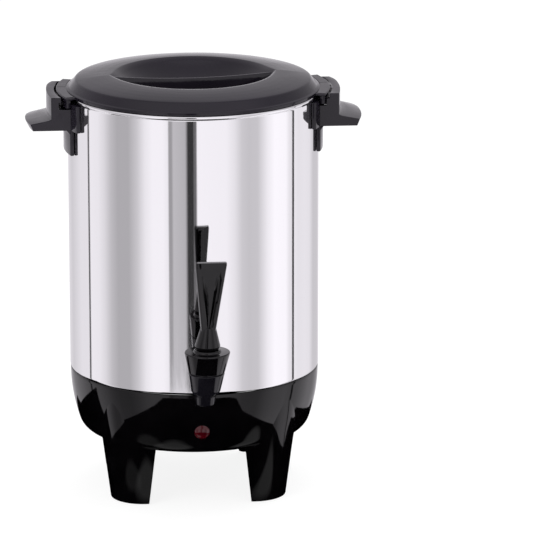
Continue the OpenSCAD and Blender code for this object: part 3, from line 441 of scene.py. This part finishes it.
# The recess is drawn in all round, but not at the bar's two ends, where it reaches out further
bar_turn = math.radians(3.8)
recess_round, recess_reach, spread_behind, spread_before = 0.0580, 0.0049, 0.13, 0.26
lid_skin.data.transform(Matrix.Rotation(bar_turn, 4, "Z"))
for v in lid_skin.data.vertices:
    r = math.hypot(v.co.x, v.co.y)
    if 1e-4 < r < crease - 0.001 and v.co.z > recess_floor - 0.0001:
        from_bar = (math.atan2(v.co.y, v.co.x) - bar_turn + math.pi) % (2 * math.pi) - math.pi
        off = min(abs(from_bar), math.pi - abs(from_bar))
        spread = spread_behind if from_bar > 0 else spread_before
        pull = (recess_round + recess_reach * math.exp(-off / spread)) / recess_radius - 1
        if r <= recess_radius:
            pull *= (r / recess_radius) ** 3
        else:
            pull *= (1 - (r - recess_radius) / (crease - recess_radius)) ** 2
        v.co.x *= 1 + pull
        v.co.y *= 1 + pull


def round_edges(piece, width, angle):
    """Rounds the edges sharper than an angle."""
    round_off = piece.modifiers.new("round_off", "BEVEL")
    round_off.width, round_off.segments, round_off.angle_limit = width, 3, math.radians(angle)
    bpy.context.view_layer.objects.active = piece
    bpy.ops.object.modifier_apply(modifier="round_off")
    shade_again(piece, 40)


def pick_edges(piece, wanted):
    """Selects the edges in edit mode that are wanted by their two ends."""
    shape = bmesh.from_edit_mesh(piece.data)
    for edge in shape.edges:
        a, b = (v.co for v in edge.verts)
        edge.select = wanted(a, b)
    bmesh.update_edit_mesh(piece.data)


def same(a, b):
    return abs(a - b) < 1e-6


def block(name, low, high, cuts=0, corner=0.0, edge=0.0004):
    """A moulded block from low to high, cut along Y.

    A corner rounds its two outer upright edges, and an edge rounds the others.
    """
    piece = slab(name, low, high)
    bpy.ops.object.mode_set(mode="EDIT")
    if corner:
        middle = (low[0] + high[0]) / 2
        pick_edges(piece, lambda a, b: same(a.x, b.x) and same(a.y, b.y) and a.x > middle)
        bpy.ops.mesh.bevel(offset=corner, segments=6, profile=0.5)
    if cuts:
        pick_edges(piece, lambda a, b: same(a.x, b.x) and same(a.z, b.z) and not same(a.y, b.y))
        bpy.ops.mesh.subdivide(number_cuts=cuts)
    bpy.ops.object.mode_set(mode="OBJECT")
    if edge:
        round_edges(piece, edge, 50)
    return piece


bend_radius = 0.1


def wrap(piece):
    """Bends a block that stands at +X round the pot's axis. Its length along Y holds at the bend's radius."""
    for v in piece.data.vertices:
        a = v.co.y / bend_radius
        v.co = Vector((v.co.x * math.cos(a), v.co.x * math.sin(a), v.co.z))
    return piece


def mirror(piece):
    """Puts a piece on the urn's other side."""
    piece.data.transform(Matrix.Diagonal((-1, 1, 1, 1)))
    piece.data.flip_normals()


bar_end, bar_half, bar_top, bar_thinning = 0.0628, 0.0024, 0.3191, 0.55
bar_dip, bar_sag, bar_foot = 0.0007, 0.0030, 0.3166
bar = block("lid_bar", (-bar_end, -bar_half, 0.296), (bar_end, bar_half, bar_top), edge=0.0)
bpy.ops.object.mode_set(mode="EDIT")
pick_edges(bar, lambda a, b: same(a.y, b.y) and same(a.z, b.z))
bpy.ops.mesh.subdivide(number_cuts=23)
bpy.ops.object.mode_set(mode="OBJECT")
for v in bar.data.vertices:
    along = v.co.x / bar_end
    if same(v.co.z, bar_top):
        v.co.z -= bar_dip + bar_sag * (1 - along ** 2)
        v.co.y *= bar_thinning
    else:
        v.co.z = min(recess_floor + ball - math.sqrt(ball ** 2 - v.co.x ** 2) - 0.0012, bar_foot)
round_edges(bar, 0.0006, 50)
bar.data.transform(Matrix.Rotation(bar_turn, 4, "Z"))

ear = wrap(block("lid_ear", (0.0925, -0.0349, 0.3072), (0.1035, 0.0349, 0.3087), cuts=24, corner=0.003))
pads = [wrap(block("lid_ear_pad", (0.0965, -0.0325, 0.3083), (0.1027, 0.0050, 0.3090), cuts=14, edge=0.0)),
        wrap(block("lid_back_pad", (0.0965, 0.0058, 0.3083), (0.1027, 0.0325, 0.3090), cuts=10, edge=0.0))]
neck = wrap(block("lid_neck", (0.0989, -0.0332, 0.3006), (0.1023, 0.0332, 0.3075), cuts=24))
tab = wrap(block("lid_tab", (0.1018, -0.0227, 0.3006), (0.1046, 0.0227, 0.3034), cuts=16))
opposite = [copy_of(piece, piece.name + "_left") for piece in (ear, neck, tab)]
for piece in opposite:
    piece.data.transform(Matrix.Rotation(math.pi, 4, "Z"))
pads_left = [copy_of(pad, pad.name + "_left") for pad in pads]
for pad in pads_left:
    mirror(pad)
lid_piece = weld("lid_moulding", lid_skin, bar, ear, *pads, neck, tab, *opposite, *pads_left)
fit(lid_piece, black_satin, "lid", "lid")

# ---- Handles --------------------------------------------------------------------------
# A left and a right black moulding: a curved saddle screwed to the pot, a tongue below it, a
# block with a slot for the lid's ear, open at one end, and a grip that thins to its tip.

handle_ends = 0.030
stations = [-1, -0.97, -0.93, -0.89, -0.85, -0.75, -0.6, -0.4, -0.2, 0, 0.2, 0.4, 0.55, 0.68, 0.78, 0.85,
            0.89, 0.93, 0.97, 1]
root, outside, hook, slot_wall, tip = 0.0968, 0.1110, 0.1052, 0.1068, 0.1272
slot_shut, hook_shut, shut_from, grip_start = 0.1030, 0.1038, 0.91, 0.1125
ends_in, back_in, tip_front_in, tip_back_in = 0.0029, 0.0022, 0.0042, 0.0125
back_start, front_start, back_curve = 0.05, 0.1, 2.6
slope_start, slope_low, slope_high = 0.1105, 0.2875, 0.2925
section = [(root, 0.2830), (tip - 0.0020, 0.2830), (tip, 0.2881), (0.1170, 0.2900), (0.1130, 0.2908),
           (outside, 0.2918), (outside, 0.3082), (hook, 0.3082), (hook, 0.3044), (slot_wall, 0.3044),
           (slot_wall, 0.2990), (root, 0.2990)]
bpy.ops.object.select_all(action="DESELECT")
bpy.ops.mesh.primitive_circle_add(vertices=len(section), radius=0.01, fill_type="NGON")
grip = bpy.context.object
grip.name = "handle_grip"
for v, (x, z) in zip(grip.data.vertices, section):
    v.co = Vector((x, -handle_ends, z))
bpy.ops.object.mode_set(mode="EDIT")
bpy.ops.mesh.select_all(action="SELECT")
for a, b in zip(stations, stations[1:]):
    bpy.ops.mesh.extrude_region_move(TRANSFORM_OT_translate={"value": (0, (b - a) * handle_ends, 0)})
bpy.ops.mesh.select_all(action="SELECT")
bpy.ops.mesh.normals_make_consistent(inside=False)
bpy.ops.object.mode_set(mode="OBJECT")


def shape_grip(piece, shut, fall):
    """Curves the grip in plan, and lets its top fall to the back.

    Its slot is shut at the front where shut is -1, and at the back where it is 1.
    """
    for v in piece.data.vertices:
        x, y = v.co.x, v.co.y
        t = y / handle_ends
        drawn_in = ends_in * t ** 2 + back_in * max(0, 2 * t - 1) ** 2
        if x > slope_start and slope_low < v.co.z < slope_high:
            v.co.z -= fall * (t + 1) / 2
        if same(x, slot_wall) and t * shut > shut_from:
            v.co.x = math.sqrt(slot_shut ** 2 - y * y)
        elif same(x, hook) and t > shut_from:
            v.co.x = math.sqrt(hook_shut ** 2 - y * y)
        elif same(x, root) or same(x, hook) or same(x, slot_wall):
            v.co.x = math.sqrt(x * x - y * y)
        elif same(x, outside):
            v.co.x = x - drawn_in
        elif x > grip_start:
            out = (x - grip_start) / (tip - grip_start)
            back = max(t + back_start, 0) / (1 + back_start)
            front = min(t + front_start, 0)
            v.co.x = x - out * (tip_front_in * front ** 2
                                + tip_back_in * (1 - math.sqrt(max(1 - back ** back_curve, 0))))
            v.co.x -= (1 - out) * drawn_in
    bpy.ops.object.select_all(action="DESELECT")
    piece.select_set(True)
    bpy.context.view_layer.objects.active = piece
    bpy.ops.object.mode_set(mode="EDIT")
    bpy.ops.mesh.select_all(action="DESELECT")
    shape = bmesh.from_edit_mesh(piece.data)
    for end in shape.faces:
        if same(abs(end.calc_center_median().y), handle_ends):
            end.select_set(True)
    bmesh.update_edit_mesh(piece.data)
    bpy.ops.mesh.inset(thickness=0.0005)
    bpy.ops.object.mode_set(mode="OBJECT")
    round_edges(piece, 0.00035, 35)


saddle = block("handle_saddle", (0.0952, -0.0428, 0.2830), (0.0985, 0.0428, 0.3033), cuts=24)
tongue = block("handle_tongue", (0.0952, -0.0297, 0.2630), (0.0983, 0.0297, 0.2840), cuts=24, edge=0.0008)
gusset = block("handle_gusset", (0.0956, -0.0290, 0.2770), (0.1010, 0.0290, 0.2836), cuts=24)
gusset_foot, gusset_middle = 0.0970, (0.098, 0.280)
for v in gusset.data.vertices:
    if v.co.x > gusset_middle[0] and v.co.z < gusset_middle[1]:
        v.co.x = gusset_foot
for piece in (saddle, tongue, gusset):
    wrap(piece)
for side, shut, fall in (("right", -1, 0.0), ("left", 1, 0.0024)):
    parts = [copy_of(piece, f"{piece.name}_{side}") for piece in (grip, saddle, tongue, gusset)]
    shape_grip(parts[0], shut, fall)
    handle = weld(f"handle_{side}_moulding", *parts)
    if side == "left":
        mirror(handle)
    fit(handle, black_satin, "urn", f"handle_{side}")
for piece in (grip, saddle, tongue, gusset):
    bpy.data.objects.remove(piece)

# ---- Tap ------------------------------------------------------------------------------
# A self-closing tap in glossy black plastic: a turned body with a spout below and a shank
# through the pot's wall, and a screw cap with a collar for the lever's skirt to rock on.

tap_centre, shank_height, shank_end = (0.0, -0.147), 0.1183, -0.0790
tap_lean, tap_offset = 0.0425, 0.0004


def lean(piece):
    """The tap stands a little out of true, turned about its shank."""
    for v in piece.data.vertices:
        v.co.x += (v.co.z - shank_height) * tap_lean - tap_offset


tap_body = throw("tap_turned_body", soften([
    (0.0, 0.1123), (0.0047, 0.1123, 0.0002), (0.0047, 0.1014, 0.0003), (0.0060, 0.1013, 0.0003),
    (0.0069, 0.1020, 0.0004), (0.0076, 0.1086, 0.0006), (0.0088, 0.1092, 0.0006), (0.0107, 0.1118, 0.0018),
    (0.0134, 0.1252, 0.0003), (0.0134, 0.1255, 0.0002), (0.0125, 0.1261, 0.0002), (0.0125, 0.1266, 0.0001),
    (0.0112, 0.1266, 0.0001), (0.0112, 0.1342, 0.0002), (0.0090, 0.1342, 0.0002), (0.0090, 0.1133, 0.0002),
    (0.0, 0.1133)], 0.0004), 96, tap_centre)
shank = throw("tap_shank", soften([
    (0.0040, 0.0), (0.0070, 0.0, 0.0005), (0.0070, 0.0190, 0.0001), (0.0110, 0.0190, 0.0004),
    (0.0110, 0.0220, 0.0006), (0.0074, 0.0222, 0.0008), (0.0070, 0.0560, 0.001), (0.0040, 0.0560, 0.0001),
    (0.0040, 0.0)], 0.0004), 48)
shank.data.transform(Matrix.Translation((0, shank_end, shank_height))
                     @ Matrix.Rotation(math.radians(90), 4, "X"))
tap = weld("tap_body_moulding", tap_body, shank)
lean(tap)
# The tap body's black plastic is given lighter colours than the cap's and lever's: painted light for the
# light the body catches
tap_black_painted_lighter, tree, skin = start_material("tap_black_painted_lighter", (0.0065, 0.006, 0.0085), 0.08, ior=1.44)
add_grain(tree, skin, 0.004, (0.06, 0.11), 0.000006, tones=((0.0055, 0.005, 0.0075), (0.0078, 0.0072, 0.010)))
fit(tap, tap_black_painted_lighter, "urn", "tap_body")

cap = throw("tap_cap_moulding", soften([
    (0.0113, 0.1267), (0.0136, 0.1267, 0.0003), (0.0168, 0.1408, 0.0004), (0.0168, 0.1413, 0.0003),
    (0.0164, 0.1419, 0.0003), (0.0103, 0.1419, 0.0003), (0.0101, 0.1428, 0.0004), (0.0094, 0.1436, 0.0005),
    (0.0039, 0.1436, 0.0003), (0.0038, 0.1361, 0.0001), (0.0113, 0.1361, 0.0001), (0.0113, 0.1267)], 0.0004),
    96, tap_centre)
lean(cap)
fit(cap, black_gloss, "urn", "tap_cap")

# ---- Lever ----------------------------------------------------------------------------
# One black moulding: a hollow cone that stands on the tap's collar, and above its waist a
# flared blade with two flutes that run together at the bottom of its face.

blade_top, waist, blade_start = 0.2099, 0.1604, 0.1574
levels = [0, 0.03, 0.08, 0.16, 0.26, 0.38, 0.5, 0.62, 0.74, 0.84, 0.91, 0.96, 0.986, 1.0]


def blade_ring(t):
    """The blade's outline at a height t, from 0 at its waist to 1 at its top."""
    half = 0.0056 + 0.0063 * t
    front, back = -0.0049, 0.0049 - 0.0047 * t
    rib, ridge = 0.0009 + 0.0074 * t, 0.0003 + 0.0050 * t
    deep = 0.0019 * min(1, t / 0.12 + 0.35) * max(0.0, 1 - (t / 0.9) ** 3)
    top = 0 if t < 0.98 else 0.0005 * (t - 0.98) / 0.02
    side = half - top * 1.6
    right = [(0, back - top), (side - 0.0012, back - top), (side, back - 0.0009), (side, front + 0.0016),
             (side - 0.0005, front + 0.0005), (side - 0.0014, front + top), ((side + rib) / 2, front + top),
             (rib + 0.0004, front + 0.0001 + top), (rib - 0.0001, front + deep * 0.25 + top),
             ((rib + ridge) / 2 + 0.0002, front + deep + top), (ridge + 0.0001, front + deep * 0.55 + top),
             (ridge - 0.0004 * min(1, t * 6), front + deep * 0.25 + top), (0, front + deep * 0.12 + top)]
    return right + [(-x, y) for x, y in reversed(right[1:-1])]


bpy.ops.object.select_all(action="DESELECT")
bpy.ops.mesh.primitive_circle_add(vertices=len(blade_ring(0)), radius=0.005, fill_type="NGON")
blade = bpy.context.object
blade.name = "lever_blade"
for v, (x, y) in zip(blade.data.vertices, blade_ring(0)):
    v.co = Vector((x * 0.9, tap_centre[1] + y * 0.9, blade_start))
bpy.ops.object.mode_set(mode="EDIT")
bpy.ops.mesh.select_all(action="SELECT")
below = blade_start
for t in levels:
    z = waist + (blade_top - waist) * t
    bpy.ops.mesh.extrude_region_move(TRANSFORM_OT_translate={"value": (0, 0, z - below)})
    below = z
    shape = bmesh.from_edit_mesh(blade.data)
    level = sorted((v for v in shape.verts if v.select), key=lambda v: v.index)
    for v, (x, y) in zip(level, blade_ring(t)):
        v.co = Vector((x, tap_centre[1] + y, z))
    bmesh.update_edit_mesh(blade.data)
bpy.ops.mesh.select_all(action="SELECT")
bpy.ops.mesh.normals_make_consistent(inside=False)
bpy.ops.object.mode_set(mode="OBJECT")
bpy.ops.object.shade_smooth_by_angle(angle=math.radians(28))
skirt = throw("lever_skirt", soften([
    (0.0, 0.1560), (0.0040, 0.1556, 0.001), (0.0072, 0.1475, 0.0005), (0.0078, 0.1440, 0.0002),
    (0.0083, 0.1440, 0.0003), (0.0093, 0.1460, 0.0003), (0.0094, 0.1465, 0.0003), (0.0055, 0.1606, 0.0006),
    (0.0, 0.1606)], 0.0004), 64, tap_centre)
lever = weld("tap_lever_moulding", skirt, blade)
lean(lever)
fit(lever, black_gloss, "lever", "tap_lever")

# ---- Lamp -----------------------------------------------------------------------------
# A small domed lens in clear red plastic, clipped into the front of the base with a neon
# behind it, and held by a ring nut inside. The tap has a nut of the same black plastic.


def give(finish, *names):
    """Gives CAD nodes a finish."""
    for name in names:
        urn[name].data.materials.clear()
        urn[name].data.materials.append(finish)


red_lens, tree, skin = start_material("red_lens", (0.045, 0.0008, 0.003), 0.06, ior=1.49)
add_grain(tree, skin, 0.002, (0.04, 0.10), 0.00003, tones=((0.028, 0.0005, 0.002), (0.075, 0.0012, 0.005)))
give(red_lens, "lamp_lens")
give(black_gloss, "lamp_nut", "tap_nut")

# ---- Inlet ----------------------------------------------------------------------------
# The power inlet at the back of the base: a dull black phenolic socket on a flange, held by
# two screws, with three flat brass pins that have dulled a little.

phenolic, tree, skin = start_material("phenolic", (0.02, 0.018, 0.017), 0.45)
add_grain(tree, skin, 0.0008, (0.36, 0.55), 0.00002, tones=((0.016, 0.015, 0.014), (0.028, 0.026, 0.024)))
give(phenolic, "inlet_socket", "thermostat")
brass, tree, skin = start_material("dull_brass", (0.78, 0.58, 0.30), 0.3, 1.0)
add_grain(tree, skin, 0.0015, (0.22, 0.4), 0.000008, stretch=(1, 0.2, 1),
          tones=((0.70, 0.50, 0.25), (0.82, 0.63, 0.34)))
give(brass, "inlet_pins")

# ---- Steel fixings --------------------------------------------------------------------
# Zinc-plated steel: the pressed plate under the base with its screws, the stud, spacer and
# nuts that clamp the pot down, the heat shield and the handle screws. The tap's pin, stem
# and spring are drawn steel.

zinc, tree, skin = start_material("zinc_plate", (0.55, 0.56, 0.58), 0.36, 1.0)
add_grain(tree, skin, 0.0025, (0.28, 0.48), 0.00001, tones=((0.46, 0.47, 0.50), (0.60, 0.60, 0.61)), detail=5)
give(zinc, "base_plate", "base_screws", "clamp_stud", "clamp_nut", "shield_spacer", "heat_shield",
     "shield_nut", "inlet_screws", "handle_screws")
drawn_steel, tree, skin = start_material("drawn_steel", (0.68, 0.68, 0.69), 0.2, 1.0)
add_grain(tree, skin, 0.0006, (0.14, 0.3), 0.000004, stretch=(1, 1, 0.15),
          tones=((0.60, 0.60, 0.61), (0.72, 0.72, 0.73)))
give(drawn_steel, "lever_pin", "tap_stem", "tap_spring")

# ---- Percolator -----------------------------------------------------------------------
# Pressed aluminium that lifts out for washing: the perforated basket and its cover, and the
# pump tube with its bell foot. The heater plate under the pot is the same metal, cast.

aluminium, tree, skin = start_material("satin_aluminium", (0.78, 0.78, 0.79), 0.3, 1.0)
add_grain(tree, skin, 0.0007, (0.24, 0.38), 0.000006, stretch=(1, 1, 4),
          tones=((0.72, 0.72, 0.73), (0.82, 0.82, 0.83)))
give(aluminium, "coffee_basket", "basket_cover", "pump_tube")
cast_plate, tree, skin = start_material("cast_aluminium", (0.6, 0.6, 0.61), 0.5, 1.0)
add_grain(tree, skin, 0.0012, (0.42, 0.62), 0.00004, tones=((0.52, 0.52, 0.53), (0.66, 0.66, 0.67)), detail=5)
give(cast_plate, "heater_plate")

# ---- Heating --------------------------------------------------------------------------
# A brewing element in a heat-blued steel sheath, a keep-warm resistor in glazed ceramic, a
# thermal fuse in a glass-cloth sleeve, and the lamp's nylon body.

blued, tree, skin = start_material("blued_sheath", (0.16, 0.15, 0.15), 0.5, 1.0)
add_grain(tree, skin, 0.003, (0.38, 0.6), 0.00002, tones=((0.10, 0.10, 0.12), (0.22, 0.18, 0.15)))
give(blued, "brew_element")
ceramic, tree, skin = start_material("glazed_ceramic", (0.78, 0.76, 0.68), 0.35)
add_grain(tree, skin, 0.0015, (0.28, 0.5), 0.00003, tones=((0.70, 0.67, 0.58), (0.82, 0.80, 0.73)))
give(ceramic, "warm_element", "thermal_fuse")
nylon, tree, skin = start_material("natural_nylon", (0.72, 0.70, 0.62), 0.4)
add_grain(tree, skin, 0.001, (0.34, 0.46), 0.00001, tones=((0.68, 0.66, 0.58), (0.76, 0.74, 0.67)))
give(nylon, "lamp_body")

# ---- Leads and seals ------------------------------------------------------------------
# Heat-proof leads in braided red-brown sleeving, and silicone rubber washers: a seat in the
# tap, a gasket each side of the pot's wall, and one under each handle screw.

sleeving, tree, skin = start_material("lead_sleeving", (0.22, 0.05, 0.03), 0.7)
place = add_node(tree, "ShaderNodeTexCoord").outputs["Object"]
braid = add_node(tree, "ShaderNodeTexVoronoi", {"Vector": place, "Scale": 1600.0})
braid_tones = [(0.2, (0.28, 0.07, 0.045)), (0.8, (0.12, 0.025, 0.015))]
tree.links.new(add_ramp(tree, braid.outputs["Distance"], braid_tones), skin.inputs["Base Color"])
ribs = add_node(tree, "ShaderNodeBump",
                {"Height": braid.outputs["Distance"], "Strength": 0.6, "Distance": 0.0002})
tree.links.new(ribs.outputs[0], skin.inputs["Normal"])
give(sleeving, "wiring")
silicone, tree, skin = start_material("silicone_rubber", (0.74, 0.74, 0.71), 0.55)
add_grain(tree, skin, 0.0008, (0.45, 0.62), 0.00001, tones=((0.68, 0.68, 0.65), (0.78, 0.78, 0.76)))
skin.inputs["Subsurface Weight"].default_value = 0.1
skin.inputs["Subsurface Scale"].default_value = 0.002
give(silicone, "tap_seat", "tap_gasket_outer", "tap_gasket_inner", "handle_washers")
